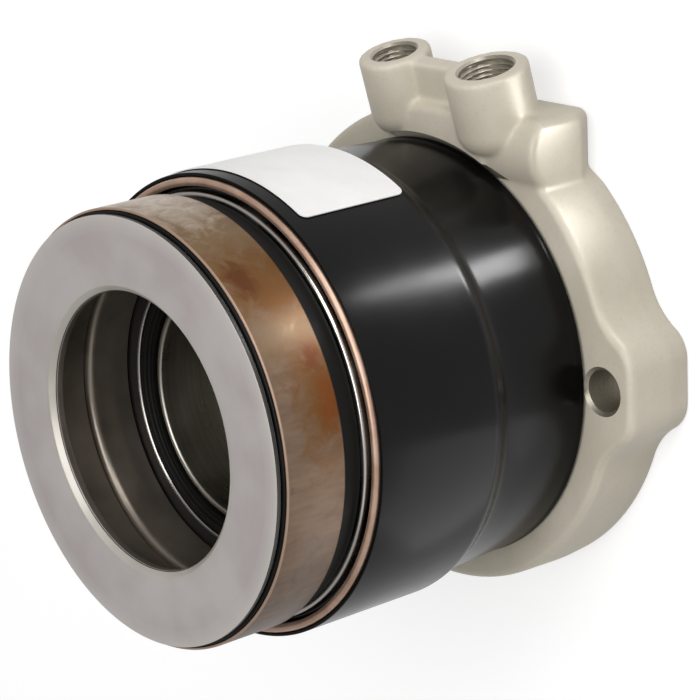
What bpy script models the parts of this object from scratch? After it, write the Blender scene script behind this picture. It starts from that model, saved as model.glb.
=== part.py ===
"""Concentric slave cylinder: a hydraulic release cylinder that sits round a gearbox shaft.

Oil let in at the large port pushes a ring-shaped piston along a guide tube. The piston carries a
ball bearing whose thrust ring presses on the clutch. A coil spring round the cylinder barrel
keeps the bearing lightly against the clutch. The axis is +Z, the mounting face is at z = 0, the
thrust ring is on top and the ports point along -Y.
"""
from math import acos, asin, atan2, cos, degrees, pi, radians, sin, sqrt, tau

import bmesh
import bpy
from mathutils import Vector

MM = 0.001

# Driving dimensions
BORE_RADIUS = 23.0 * MM         # shaft bore, inside of the guide tube
TUBE_WALL = 1.4 * MM
PISTON_WIDTH = 8.0 * MM         # radial width of the ring piston
BARREL_WALL = 3.5 * MM          # wall of the cylinder barrel
SPRING_WIRE = 2.8 * MM          # preload spring
SPRING_TURNS = 5.5
SLEEVE_WALL = 2.5 * MM
HEIGHT = 93.0 * MM              # mounting face to thrust face, piston out
STROKE = 15.0 * MM
CARRIER_PLATE = 1.5 * MM        # sheet that carries the bearing
CARRIER_SKIRT = 3.0 * MM        # skirt below it, over the spring
PISTON_GUIDE = 15.0 * MM        # length of piston inside the barrel when it is out
BAND_WIDTH = 4.6 * MM           # groove of the piston's guide band
BAND_FOOT = 7.4 * MM            # piston below that groove
PISTON_SEAL = 4.2 * MM          # height of the pressure seal
BEARING_HEIGHT = 21.6 * MM      # carrier plate to thrust face
RING_WALL = 3.9 * MM
RACE_HEIGHT = 12.0 * MM         # the bearing's wide outer ring
THRUST_PLATE = 1.0 * MM         # thin rim of the thrust ring
COLLAR_WALL = 0.5 * MM          # collar of the outer ring round the front seal
BALL_RADIUS = 2.9 * MM
BALL_COUNT = 12
BALL_DEPTH = 9.4 * MM           # ball centres below the thrust face
CAGE_WALL = 1.6 * MM
FLANGE_THICKNESS = 16.5 * MM
FLANGE_MARGIN = 3.6 * MM        # flange beyond the sleeve
SPIGOT_HEIGHT = 5.5 * MM        # shoulder that centres the sleeve
SLEEVE_STEP = 41.3 * MM         # height of the step in the sleeve
BOLT_HOLE_RADIUS = 4.3 * MM     # clearance for M8
LUG_RADIUS = 12.0 * MM
LUG_REACH = 6.0 * MM            # how far a bolt ear stands out of the flange
PORT_REACH = 10.5 * MM          # port faces beyond the flange
PORT_TILT = radians(14.5)       # ports lean towards the thrust ring
PORT_Z = 17.2 * MM              # height of the port face centres
INLET_X = -18.0 * MM
INLET_RADIUS = 8.5 * MM
INLET_BORE = 5.5 * MM           # M12 fine thread
BLEED_X = 8.8 * MM
BLEED_RADIUS = 7.4 * MM
BLEED_BORE = 4.5 * MM           # M10 fine thread
BLOCK_WIDTH = 31.8 * MM         # squared port block, from the axis to its side face
BLOCK_TOP = 51.0 * MM           # and from the axis to its top face
CHANNEL_RADIUS = 9.0 * MM       # rounded oil channel across the flange
CHANNEL_FRONT = 2.3 * MM        # height of the channel above the flange
WEB_WIDTH = 4.0 * MM            # web between the bosses
SEAL_BORE = 17.5 * MM           # lip of the shaft seal
SEAL_DEPTH = 3.0 * MM           # shaft seal above the mounting face
SEAL_WIDTH = 7.4 * MM
SEAL_CASE = 1.0 * MM            # sheet of its case
LABEL_SPREAD = radians(28.8)    # half the angle that the label covers

FIT = 0.35 * MM                 # running clearance
GAP = 0.3 * MM                  # clearance between pieces at rest
SEGMENTS = 32
FINE = 28

# Radii that follow, from the shaft outwards
tube_outer = BORE_RADIUS + TUBE_WALL
piston_inner = tube_outer + FIT
piston_outer = piston_inner + PISTON_WIDTH
cylinder_bore = piston_outer + FIT
barrel_outer = cylinder_bore + BARREL_WALL
spring_inner = barrel_outer + 0.9 * MM
spring_outer = spring_inner + SPRING_WIRE
spigot = spring_outer + 1.0 * MM
sleeve_inner = spigot + 2.1 * MM
sleeve_outer = sleeve_inner + SLEEVE_WALL
bearing_outer = sleeve_inner - 1.4 * MM
flange_radius = sleeve_outer + FLANGE_MARGIN
bolt_circle = flange_radius - 2.0 * MM
port_face = flange_radius + PORT_REACH
channel_y = flange_radius - 5.5 * MM

# Heights that follow, from the thrust face downwards
plate_top = HEIGHT - BEARING_HEIGHT - GAP
plate_bottom = plate_top - CARRIER_PLATE
skirt_bottom = plate_bottom - CARRIER_SKIRT
barrel_top = plate_bottom - STROKE - 2.3 * MM
spigot_top = FLANGE_THICKNESS + SPIGOT_HEIGHT
chamber_floor = 6.5 * MM
ring_seat = plate_bottom + 0.7 * MM      # the stop ring's seat in the sleeve
sleeve_front = ring_seat + 1.2 * MM
sleeve_rear = FLANGE_THICKNESS + 0.7 * MM


def material(name, colour, roughness, metallic=0.0):
    made = bpy.data.materials.new(name)
    made.use_nodes = True
    shader = made.node_tree.nodes["Principled BSDF"]
    shader.inputs["Base Color"].default_value = (*colour, 1.0)
    shader.inputs["Roughness"].default_value = roughness
    shader.inputs["Metallic"].default_value = metallic
    return made


def finish(name, bm, look, parent=None, smooth=True):
    """Turn a bmesh into a named object with its faces pointing out."""
    bmesh.ops.recalc_face_normals(bm, faces=bm.faces)
    mesh = bpy.data.meshes.new(name)
    bm.to_mesh(mesh)
    bm.free()
    if look:
        mesh.materials.append(look)
    if smooth:
        mesh.shade_smooth()
        mesh.set_sharp_from_angle(angle=radians(35))
    made = bpy.data.objects.new(name, mesh)
    bpy.context.scene.collection.objects.link(made)
    made.parent = parent
    return made


def turned(name, profile, look, parent=None, segments=SEGMENTS):
    """Spin a closed (radius, height) profile once round the Z axis."""
    bm = bmesh.new()
    points = [bm.verts.new((r, 0.0, z)) for r, z in profile]
    edges = [bm.edges.new((a, b)) for a, b in zip(points, points[1:] + points[:1])]
    bmesh.ops.spin(bm, geom=points + edges, cent=(0, 0, 0), axis=(0, 0, 1),
                   angle=tau, steps=segments, use_duplicate=False)
    bmesh.ops.remove_doubles(bm, verts=bm.verts, dist=1e-6)
    return finish(name, bm, look, parent)


def skinned(name, sections, look, parent=None, smooth=True):
    """Skin a row of equal point rings and cap both ends."""
    bm = bmesh.new()
    rows = [[bm.verts.new(point) for point in section] for section in sections]
    for lower, upper in zip(rows, rows[1:]):
        for i in range(len(lower)):
            j = (i + 1) % len(lower)
            bm.faces.new((lower[i], lower[j], upper[j], upper[i]))
    bm.faces.new(rows[0][::-1])
    bm.faces.new(rows[-1])
    return finish(name, bm, look, parent, smooth)


def round_section(radius, height, wire, sides):
    """Points of a wire or O-ring section, as (radius, height) pairs."""
    return [(radius + wire * cos(tau * (i + 0.5) / sides), height + wire * sin(tau * (i + 0.5) / sides))
            for i in range(sides)]


def arc(centre, radius, start, end, steps):
    """Points from one angle to another, in degrees, both ends included."""
    span = [radians(start + (end - start) * i / steps) for i in range(steps + 1)]
    return [(centre[0] + radius * cos(t), centre[1] + radius * sin(t)) for t in span]


def join(target, tool, operation):
    """Add or cut one solid with another, which is then kept as a hidden guide."""
    step = target.modifiers.new(f"{operation.lower()} {tool.name}", "BOOLEAN")
    step.operation = operation
    step.solver = "EXACT"
    step.object = tool
    tool.hide_render = True
    tool.display_type = "WIRE"


def group(name):
    made = bpy.data.objects.new(name, None)
    bpy.context.scene.collection.objects.link(made)
    return made


for old in list(bpy.data.objects):
    bpy.data.objects.remove(old)

cast_aluminium = material("cast_aluminium", (0.58, 0.54, 0.46), 0.55, 0.35)
black_enamel = material("black_enamel", (0.012, 0.012, 0.011), 0.28)
black_rubber = material("black_rubber", (0.02, 0.02, 0.02), 0.6)
ground_steel = material("ground_steel", (0.42, 0.40, 0.39), 0.4, 1.0)
bright_steel = material("bright_steel", (0.62, 0.60, 0.58), 0.25, 1.0)
stained_steel = material("stained_steel", (0.30, 0.19, 0.11), 0.4, 0.8)
coppered_wire = material("coppered_wire", (0.62, 0.38, 0.27), 0.35, 0.9)
spring_steel = material("spring_steel", (0.22, 0.22, 0.23), 0.4, 0.9)
cage_polymer = material("cage_polymer", (0.10, 0.09, 0.07), 0.5)
white_paper = material("white_paper", (0.85, 0.85, 0.84), 0.6)

fixed = group("fixed_pieces")
sliding = group("sliding_pieces")
spinning = group("spinning_pieces")
orbiting = group("orbiting_pieces")


# Housing: flange with two bolt ears and a squared port block
def flange_outline():
    """Outline of the flange seen from above, counter-clockwise from the +X ear."""
    ear = flange_radius + LUG_REACH - LUG_RADIUS
    fillet = 7.0 * MM
    far, near = flange_radius + fillet, LUG_RADIUS + fillet
    x = (far ** 2 - near ** 2 + ear ** 2) / (2 * ear)
    y = sqrt(far ** 2 - x ** 2)
    root = degrees(atan2(y, x))
    side = degrees(atan2(y, x - ear))
    front = arc((ear, 0), LUG_RADIUS, -side, side, 8)
    blend = arc((x, y), fillet, side + 180, root + 180, 3)[1:]
    half = front + blend
    mirrored = [(-px, -py) for px, py in half]
    blend_in = [(px, -py) for px, py in reversed(blend)]
    block_angle = 180 + degrees(acos(BLOCK_WIDTH / flange_radius))
    block_end = BLEED_X + 3 * MM
    end_angle = 270 + degrees(asin(block_end / flange_radius))
    corner = 2.2 * MM
    outline = half
    outline += arc((0, 0), flange_radius, root, 180 - root, 16)[1:-1]
    outline += [(-px, -py) for px, py in blend_in] + mirrored
    outline += arc((0, 0), flange_radius, 180 + root, block_angle, 5)[1:]
    outline += arc((-BLOCK_WIDTH + corner, -BLOCK_TOP + corner), corner, 180, 270, 4)
    outline += [(block_end, -BLOCK_TOP)]
    outline += arc((0, 0), flange_radius, end_angle, 360 - root, 9)[:-1]
    return outline + blend_in


def inset(outline, depth):
    """Move each side of an outline inwards by the same depth."""
    moved = []
    for before, here, after in zip(outline[-1:] + outline[:-1], outline, outline[1:] + outline[:1]):
        a = Vector(here) - Vector(before)
        b = Vector(after) - Vector(here)
        left_a = Vector((-a.y, a.x)).normalized()
        left_b = Vector((-b.y, b.x)).normalized()
        middle = (left_a + left_b).normalized()
        moved.append(Vector(here) + middle * depth / max(0.5, middle.dot(left_a)))
    return moved


outline = flange_outline()
chamfer = 1.2 * MM
edge = [(*p, 0.0) for p in inset(outline, 0.5 * MM)], [(*p, 0.5 * MM) for p in outline]
rim = [(*p, FLANGE_THICKNESS - chamfer) for p in outline]
face = [(*p, FLANGE_THICKNESS) for p in inset(outline, chamfer)]
housing = skinned("housing", [*edge, rim, face], cast_aluminium, fixed)


def port_tool(name, x, profile):
    """A turned solid on a port's axis, with z = 0 at the port face."""
    tool = turned(name, profile, cast_aluminium, fixed, 20)
    tool.location = (x, -port_face, PORT_Z)
    tool.rotation_euler = (pi / 2 - PORT_TILT, 0, 0)
    return tool


def boss(name, x, radius):
    edge, foot, end = 0.8 * MM, -17 * MM, 4 * MM
    return port_tool(name, x, [(0, foot), (radius - end, foot), (radius - 0.3 * end, foot + 0.3 * end),
                               (radius, foot + end), (radius, -edge), (radius - edge, 0), (0, 0)])


# Rounded channel across the flange, its flat front between the bosses, two bosses and a web
channel_z = FLANGE_THICKNESS + CHANNEL_FRONT - CHANNEL_RADIUS
crown = arc((-channel_y, channel_z), CHANNEL_RADIUS, 40, 140, 10)
channel_foot = FLANGE_THICKNESS / 2
channel = skinned("channel_solid", [
    [(x, y, z) for y, z in [(crown[0][0], channel_foot), *crown, (crown[-1][0], channel_foot)]]
    for x in (0.3 * MM - BLOCK_WIDTH, BLEED_X)], cast_aluminium, fixed, False)
join(housing, channel, "UNION")
front_z, front_y = FLANGE_THICKNESS + CHANNEL_FRONT + 0.2 * MM, 0.1 * MM - BLOCK_TOP
front = skinned("channel_front_solid", [[
    (x, -channel_y + 4 * MM, 9 * MM), (x, -channel_y + 4 * MM, front_z), (x, front_y + 1.2 * MM, front_z),
    (x, front_y, front_z - 1.2 * MM), (x, front_y, 9 * MM)] for x in (INLET_X, BLEED_X)],
    cast_aluminium, fixed, False)
join(housing, front, "UNION")
join(housing, boss("inlet_boss_solid", INLET_X, INLET_RADIUS), "UNION")
join(housing, boss("bleed_boss_solid", BLEED_X, BLEED_RADIUS), "UNION")
half_web, web_foot, web_top = WEB_WIDTH / 2, -18.0 * MM, -0.6 * MM
web = skinned("web_solid", [[
    (x, -half_web, web_foot), (x, half_web, web_foot), (x, half_web, web_top), (x, -half_web, web_top)]
    for x in (INLET_X, BLEED_X)], cast_aluminium, fixed, False)
web.location = (0, -port_face, PORT_Z)
web.rotation_euler = (pi / 2 - PORT_TILT, 0, 0)
join(housing, web, "UNION")

# Bore, guide tube seat, O-ring groove and room for the sleeve, all turned in one cut
tube_bore = tube_outer + GAP
seat_radius = tube_outer + 4.9 * MM
groove_low, groove_high = 3.7 * MM, 5.8 * MM
sleeve_room = sleeve_inner + 1.5 * MM
chamber, groove_floor = cylinder_bore + 0.5 * MM, tube_bore + 1.8 * MM
bore = turned("bore_cutter", [
    (0, -1 * MM), (seat_radius, -1 * MM), (seat_radius, 2.8 * MM), (tube_bore, 2.8 * MM),
    (tube_bore, groove_low), (groove_floor, groove_low), (groove_floor, groove_high),
    (tube_bore, groove_high), (tube_bore, chamber_floor), (chamber, chamber_floor),
    (chamber, FLANGE_THICKNESS + GAP),
    (sleeve_room, FLANGE_THICKNESS + GAP), (sleeve_room, HEIGHT), (0, HEIGHT)], None, fixed)
join(housing, bore, "DIFFERENCE")

# Cylinder barrel, with the grooved spigot at its foot that centres the sleeve
groove_middle = FLANGE_THICKNESS + 2.7 * MM
spigot_groove = spigot - 1.8 * MM
half_groove = 1.05 * MM
barrel = turned("barrel_solid", [
    (cylinder_bore, 10 * MM), (spigot, 10 * MM), (spigot, groove_middle - half_groove),
    (spigot_groove, groove_middle - half_groove), (spigot_groove, groove_middle + half_groove),
    (spigot, groove_middle + half_groove), (spigot, spigot_top), (barrel_outer, spigot_top),
    (barrel_outer, barrel_top), (cylinder_bore, barrel_top)], cast_aluminium, fixed)
join(housing, barrel, "UNION")
face_groove = flange_radius - 9.8 * MM
join(housing, turned("face_groove_cutter", [(face_groove - 1.2 * MM, -MM), (face_groove + 1.2 * MM, -MM),
                                            (face_groove + 1.2 * MM, 2.2 * MM),
                                            (face_groove - 1.2 * MM, 2.2 * MM)], None, fixed), "DIFFERENCE")

# Bolt holes with a small countersink, and the two ports drilled through to the cylinder
for side in (-1, 1):
    hole = turned(f"bolt_hole_cutter_{side + 2}", [
        (0, -MM), (BOLT_HOLE_RADIUS, -MM), (BOLT_HOLE_RADIUS, FLANGE_THICKNESS - 0.7 * MM),
        (BOLT_HOLE_RADIUS + 1.0 * MM, FLANGE_THICKNESS + 0.3 * MM),
        (BOLT_HOLE_RADIUS + 1.0 * MM, FLANGE_THICKNESS + 2 * MM), (0, FLANGE_THICKNESS + 2 * MM)],
        None, fixed, 20)
    hole.location = (side * bolt_circle, 0, 0)
    join(housing, hole, "DIFFERENCE")


def port_cutter(name, x, radius, depth, drill):
    """Threaded bore with a countersink, and a thinner drilling that ends inside the cylinder."""
    inside = cylinder_bore - 1.5 * MM
    reach = (port_face - sqrt(inside ** 2 - x ** 2)) / cos(PORT_TILT)
    sink = 0.5 * MM
    return port_tool(name, x, [(0, -reach), (drill, -reach), (drill, -depth - radius * 0.5), (radius, -depth),
                               (radius, -sink), (radius + 2 * sink, sink), (0, sink)])


join(housing, port_cutter("inlet_cutter", INLET_X, INLET_BORE, 12 * MM, 1.6 * MM), "DIFFERENCE")
join(housing, port_cutter("bleed_cutter", BLEED_X, BLEED_BORE, 12 * MM, 1.4 * MM), "DIFFERENCE")

# Guide tube, flanged at its rear end
turned("guide_tube", [(BORE_RADIUS, GAP), (seat_radius - GAP, GAP), (seat_radius - GAP, 2.5 * MM),
                      (tube_outer, 2.5 * MM), (tube_outer, plate_top - 1.8 * MM),
                      (tube_outer - 0.5 * MM, plate_top - 1.4 * MM), (BORE_RADIUS, plate_top - 1.4 * MM)],
       bright_steel, fixed)

# O-rings: round the guide tube, on the spigot and in the mounting face
groove_height = (groove_low + groove_high) / 2
turned("guide_tube_o_ring",
       round_section(tube_bore + 0.78 * MM, groove_height, 0.72 * MM, 6), black_rubber, fixed)
turned("sleeve_o_ring", round_section(spigot - 0.78 * MM, groove_middle, 0.72 * MM, 6), black_rubber, fixed)
turned("mounting_face_o_ring", round_section(face_groove, 1.05 * MM, 0.85 * MM, 6), black_rubber, fixed)

# Outer sleeve: thin tube with a step, a shallow waist and a rear end that tapers onto the spigot
step, waist = sleeve_outer, sleeve_outer - 1.5 * MM
rear_inner = spigot + GAP
mouth = sleeve_inner + 1.85 * MM
sleeve_profile = [
    (rear_inner, sleeve_rear), (rear_inner + 1.9 * MM, sleeve_rear),
    (rear_inner + 1.6 * MM, sleeve_rear + 1.2 * MM), (waist - 0.4 * MM, SLEEVE_STEP - 6 * MM),
    (waist, SLEEVE_STEP - 2.2 * MM), (step - 0.5 * MM, SLEEVE_STEP - 0.4 * MM),
    (step, SLEEVE_STEP + 1.2 * MM),
    (step, sleeve_front - 0.4 * MM), (step - 0.2 * MM, sleeve_front),
    (mouth, sleeve_front), (mouth, ring_seat + 0.2 * MM), (sleeve_inner, ring_seat),
    (sleeve_inner, SLEEVE_STEP + 4 * MM), (sleeve_inner - 0.9 * MM, SLEEVE_STEP),
    (rear_inner, SLEEVE_STEP - 10 * MM)]
turned("outer_sleeve", sleeve_profile, black_enamel, fixed)

# Stop ring: round wire sprung into the sleeve's mouth, split at the side away from the ports
ring_wire = 0.85 * MM
ring_radius, ring_height = mouth - GAP - 0.9 * ring_wire, ring_seat + GAP + ring_wire
split = radians(3)
sections = []
for i in range(SEGMENTS + 1):
    turn = pi / 2 + split + (tau - 2 * split) * i / SEGMENTS
    sections.append([(r * cos(turn), r * sin(turn), z)
                     for r, z in round_section(ring_radius, ring_height, ring_wire, 6)])
skinned("stop_ring", sections, coppered_wire, fixed)

# Blank label wrapped over the sleeve
label_low, label_high = SLEEVE_STEP + 1.6 * MM, sleeve_front - 3.4 * MM
label_inner, label_outer = sleeve_outer + 0.2 * MM, sleeve_outer + 0.42 * MM
facet = tau / SEGMENTS
whole = int(LABEL_SPREAD / facet)
label_turns = [-LABEL_SPREAD, -LABEL_SPREAD + radians(1.3), *[facet * i for i in range(-whole, whole + 1)],
               LABEL_SPREAD - radians(1.3), LABEL_SPREAD]
sections = []
for i, turn in enumerate(label_turns):
    nick = 1.1 * MM if i in (0, len(label_turns) - 1) else 0.0
    sections.append([(r * sin(turn), -r * cos(turn), z) for r, z in (
        (label_inner, label_low + nick), (label_outer, label_low + nick),
        (label_outer, label_high - nick), (label_inner, label_high - nick))])
skinned("label", sections, white_paper, fixed)

# Shaft seal in the rear end of the guide tube: case, lip and garter spring
case_outer = BORE_RADIUS - GAP
case_inner = case_outer - SEAL_CASE
case_top, case_floor = SEAL_DEPTH + SEAL_WIDTH, SEAL_DEPTH + SEAL_CASE
turned("shaft_seal_case", [
    (case_inner - 2.2 * MM, SEAL_DEPTH), (case_outer, SEAL_DEPTH), (case_outer, case_top),
    (case_inner, case_top), (case_inner, case_floor), (case_inner - 2.2 * MM, case_floor)],
    bright_steel, fixed, FINE)
lip_outer, lip_low, lip_top = case_inner - GAP, case_floor + GAP, case_top - 0.4 * MM
turned("shaft_seal_lip", [
    (SEAL_BORE + 0.5 * MM, lip_low), (lip_outer, lip_low), (lip_outer, lip_top),
    (lip_outer - 0.8 * MM, lip_top), (lip_outer - 0.8 * MM, lip_low + 1.5 * MM),
    (SEAL_BORE + 1.4 * MM, lip_low + 1.5 * MM),
    (SEAL_BORE + 1.2 * MM, lip_top - 1.4 * MM), (SEAL_BORE, lip_top - 2.0 * MM)], black_rubber, fixed, FINE)
garter_middle = SEAL_BORE + 1.4 * MM + 0.85 * MM
garter_height = (lip_low + 1.5 * MM + lip_top) / 2 - 0.5 * MM
turned("garter_spring", round_section(garter_middle, garter_height, 0.4 * MM, 5), spring_steel, fixed, FINE)

# Preload spring between its two seats, with the end turns closed
seat_low, seat_high = spigot_top + GAP, spigot_top + 1.3 * MM
top_seat_high, top_seat_low = skirt_bottom - GAP, skirt_bottom - 1.3 * MM
for name, low, high, owner in (("spring_seat_rear", seat_low, seat_high, fixed),
                               ("spring_seat_front", top_seat_low, top_seat_high, sliding)):
    turned(name, [(barrel_outer + 0.4 * MM, low), (spigot - 0.2 * MM, low),
                  (spigot - 0.2 * MM, high), (barrel_outer + 0.4 * MM, high)], ground_steel, owner)
wire = SPRING_WIRE / 2
first = seat_high + GAP + wire
last = top_seat_low - GAP - wire
coil_radius = (spring_inner + spring_outer) / 2
closed = SPRING_WIRE + 0.15 * MM
lift = (last - first - 2 * closed) / (SPRING_TURNS - 2)
per_turn = 20
sections = []
for i in range(round(SPRING_TURNS * per_turn) + 1):
    turns = i / per_turn
    height = first + closed * min(turns, 1) + lift * max(0, min(turns, SPRING_TURNS - 1) - 1)
    height += closed * max(0, turns - SPRING_TURNS + 1)
    sections.append([(r * cos(tau * turns), r * sin(tau * turns), z)
                     for r, z in round_section(coil_radius, height, wire, 5)])
skinned("preload_spring", sections, spring_steel, None)

# Bearing carrier: pressed plate with a skirt over the spring and a rim round the bearing
carrier_inner = tube_outer + 3.9 * MM
shoulder = sleeve_inner - GAP
carrier_rim = bearing_outer - 0.1 * MM
skirt_inner = barrel_outer + 0.3 * MM
rim_top, rim_inner = plate_top + 1.6 * MM, carrier_rim - 1.1 * MM
turned("bearing_carrier", [
    (carrier_inner, plate_bottom), (skirt_inner, plate_bottom), (skirt_inner, skirt_bottom),
    (shoulder, skirt_bottom), (shoulder, ring_seat), (carrier_rim, ring_seat),
    (carrier_rim, rim_top), (rim_inner, rim_top), (rim_inner, plate_top), (carrier_inner, plate_top)],
    bright_steel, sliding)

# Ring piston with its guide band, pressure seal and wiper
piston_top = plate_bottom - GAP
piston_rear = barrel_top - PISTON_GUIDE
pocket = carrier_inner
band_low, band_high = piston_rear + BAND_FOOT, piston_rear + BAND_FOOT + BAND_WIDTH
band_inner = piston_outer - 1.5 * MM
turned("piston", [(piston_inner, piston_rear), (piston_outer, piston_rear), (piston_outer, band_low),
                  (band_inner, band_low), (band_inner, band_high), (piston_outer, band_high),
                  (piston_outer, piston_top), (pocket, piston_top), (pocket, piston_top - 2.6 * MM),
                  (piston_inner, piston_top - 2.6 * MM)], ground_steel, sliding)
turned("piston_guide_band", [(band_inner + GAP, band_low + GAP), (piston_outer + 0.1 * MM, band_low + GAP),
                             (piston_outer + 0.1 * MM, band_high - GAP), (band_inner + GAP, band_high - GAP)],
       cage_polymer, sliding)
seal_top, seal_low = piston_rear - GAP, piston_rear - GAP - PISTON_SEAL
seal_floor = seal_low + 2.4 * MM
turned("piston_seal", [
    (piston_inner, seal_low), (piston_inner + 1.0 * MM, seal_low), (piston_inner + 2.6 * MM, seal_floor),
    (piston_outer - 2.6 * MM, seal_floor), (piston_outer - 1.0 * MM, seal_low), (piston_outer, seal_low),
    (piston_outer, seal_top), (piston_inner, seal_top)], black_rubber, sliding)
turned("inner_wiper", [(piston_inner, piston_top - 2.3 * MM), (pocket - GAP, piston_top - 2.3 * MM),
                       (pocket - GAP, plate_top - 0.5 * MM), (pocket - 1.3 * MM, plate_top),
                       (piston_inner, plate_top - 1.0 * MM)], black_rubber, sliding)

# Release bearing: angular contact ball bearing between the outer ring and the thrust ring
pitch = bearing_outer - 4.7 * MM
ball_height = HEIGHT - BALL_DEPTH
race = BALL_RADIUS + 0.3 * MM
ring_top = HEIGHT - 3.4 * MM
ring_foot = plate_top + GAP
dust_top = ring_top - RACE_HEIGHT
cage_room = ball_height - race - 1.8 * MM
neck_low = ball_height - 2.0 * MM
neck_inner = pitch - race - 1.7 * MM
contact = arc((pitch, ball_height), race, -5, -65, 4)
lip_inner = neck_inner - 0.9 * MM
rim_under = HEIGHT - THRUST_PLATE
ring_outer = bearing_outer + 0.95 * MM
collar_top, collar_inner = rim_under - 0.7 * MM, ring_outer - COLLAR_WALL
turned("bearing_outer_ring", [
    (ring_outer, collar_top - 0.2 * MM), (ring_outer - 0.2 * MM, collar_top), (collar_inner, collar_top),
    (collar_inner, ring_top), (bearing_outer - 1.4 * MM, ring_top), *contact,
    (contact[-1][0], cage_room), (pitch - 2.7 * MM, cage_room), (pitch - 2.7 * MM, neck_low - 0.4 * MM),
    (lip_inner, neck_low - 0.4 * MM), (lip_inner, ring_foot), (bearing_outer - RING_WALL, ring_foot),
    (bearing_outer - RING_WALL, dust_top), (ring_outer, dust_top)], stained_steel, sliding)
dust_low, dust_inner = rim_top + GAP, bearing_outer - RING_WALL + GAP
turned("dust_ring", [
    (dust_inner, dust_low), (carrier_rim - 0.3 * MM, dust_low),
    (carrier_rim - 0.6 * MM, dust_low + 0.4 * MM), (carrier_rim - 0.6 * MM, dust_top - GAP),
    (dust_inner, dust_top - GAP)], black_rubber, sliding)
seal_leg, seal_rim = pitch + 1.35 * MM, collar_inner - GAP
turned("bearing_front_seal", [
    (seal_leg, ring_top - 1.3 * MM), (bearing_outer - 1.7 * MM, ring_top - 1.3 * MM),
    (bearing_outer - 1.7 * MM, ring_top + GAP), (seal_rim, ring_top + GAP), (seal_rim, rim_under - GAP),
    (seal_leg, rim_under - GAP)], black_rubber, sliding)
thrust_inner = tube_outer + 2.8 * MM
contact = arc((pitch, ball_height), race, 115, 175, 4)
turned("thrust_ring", [
    (thrust_inner, HEIGHT - 2.7 * MM), (thrust_inner, HEIGHT - 1.4 * MM), (thrust_inner + 1.7 * MM, HEIGHT),
    (bearing_outer - 0.3 * MM, HEIGHT), (bearing_outer, HEIGHT - 0.3 * MM), (bearing_outer, rim_under),
    (contact[0][0], rim_under), *contact, (contact[-1][0], neck_low), (neck_inner, neck_low),
    (neck_inner, HEIGHT - 4.2 * MM), (neck_inner - 1.5 * MM, HEIGHT - 2.7 * MM)], ground_steel, spinning)

# Ball cage and balls
cage_inner, cage_outer = pitch - CAGE_WALL / 2, pitch + CAGE_WALL / 2
cage_low, cage_top = cage_room + 0.5 * MM, ball_height + race + 1.2 * MM
cage = turned("ball_cage", [(cage_inner, cage_low), (cage_outer, cage_low), (cage_outer, cage_top),
                            (cage_inner, cage_top)], cage_polymer, orbiting)
ball_bm = bmesh.new()
bmesh.ops.create_uvsphere(ball_bm, u_segments=10, v_segments=6, radius=BALL_RADIUS)
ball = finish("bearing_ball_01", ball_bm, bright_steel, orbiting)
for i in range(BALL_COUNT):
    turn = tau * (i + 0.5) / BALL_COUNT
    place = Vector((pitch * cos(turn), pitch * sin(turn), ball_height))
    pocket_cutter = turned(f"pocket_cutter_{i + 1:02d}", [
        (0, -BALL_RADIUS), (race, -BALL_RADIUS), (race, BALL_RADIUS), (0, BALL_RADIUS)], None, orbiting, 12)
    pocket_cutter.location = place
    pocket_cutter.rotation_euler = (0, pi / 2, turn)
    join(cage, pocket_cutter, "DIFFERENCE")
    if i:
        ball = bpy.data.objects.new(f"bearing_ball_{i + 1:02d}", ball.data)
        bpy.context.scene.collection.objects.link(ball)
        ball.parent = orbiting
    ball.location = place
    ball.rotation_euler = (0, 0, turn)
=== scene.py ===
from math import acos, asin, atan2, cos, degrees, pi, radians, sin, sqrt, tau

import bpy
from mathutils import Matrix, Vector


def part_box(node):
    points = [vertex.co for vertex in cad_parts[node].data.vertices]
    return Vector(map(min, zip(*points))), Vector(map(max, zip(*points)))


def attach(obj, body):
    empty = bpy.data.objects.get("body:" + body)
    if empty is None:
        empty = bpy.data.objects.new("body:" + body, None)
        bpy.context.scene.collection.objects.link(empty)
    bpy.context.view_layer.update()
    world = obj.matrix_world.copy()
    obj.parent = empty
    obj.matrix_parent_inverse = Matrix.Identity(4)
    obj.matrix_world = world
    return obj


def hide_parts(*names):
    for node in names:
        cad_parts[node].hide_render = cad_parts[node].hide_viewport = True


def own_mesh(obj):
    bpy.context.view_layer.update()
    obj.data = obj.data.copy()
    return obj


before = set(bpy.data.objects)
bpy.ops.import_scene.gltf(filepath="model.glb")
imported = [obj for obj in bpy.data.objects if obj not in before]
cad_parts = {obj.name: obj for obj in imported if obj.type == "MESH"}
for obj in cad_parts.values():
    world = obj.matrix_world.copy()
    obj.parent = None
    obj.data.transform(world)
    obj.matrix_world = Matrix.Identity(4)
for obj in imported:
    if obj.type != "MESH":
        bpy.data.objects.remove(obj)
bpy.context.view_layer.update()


# Housing
# One aluminium casting, left as cast: a thick flange with two bolt ears, a squared block with a
# half-round oil channel on it, and two leaning bosses for the pipe unions. The mounting face,
# the bore, the bolt holes and the threads are machined into it afterwards.
mm = 0.001
hair = 0.01 * mm                # closer than this counts as the same place
flange_radius, flange_height = 49.5 * mm, 16.5 * mm
parting_height, rear_draft, front_draft = 5.6 * mm, 0.99, 0.9965
ear_reach, ear_corner, ear_flat, ear_fillet = 55.5 * mm, 7.0 * mm, 4.4 * mm, 15.0 * mm
block_side, block_top, block_end, block_corner = 32.2 * mm, 51.0 * mm, 11.8 * mm, 2.2 * mm


def arc(x, y, radius, start, end, steps):
    """Points round a centre from one angle to another, in degrees, both ends included."""
    turns = [radians(start + (end - start) * i / steps) for i in range(steps + 1)]
    return [(x + radius * cos(t), y + radius * sin(t)) for t in turns]


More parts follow.
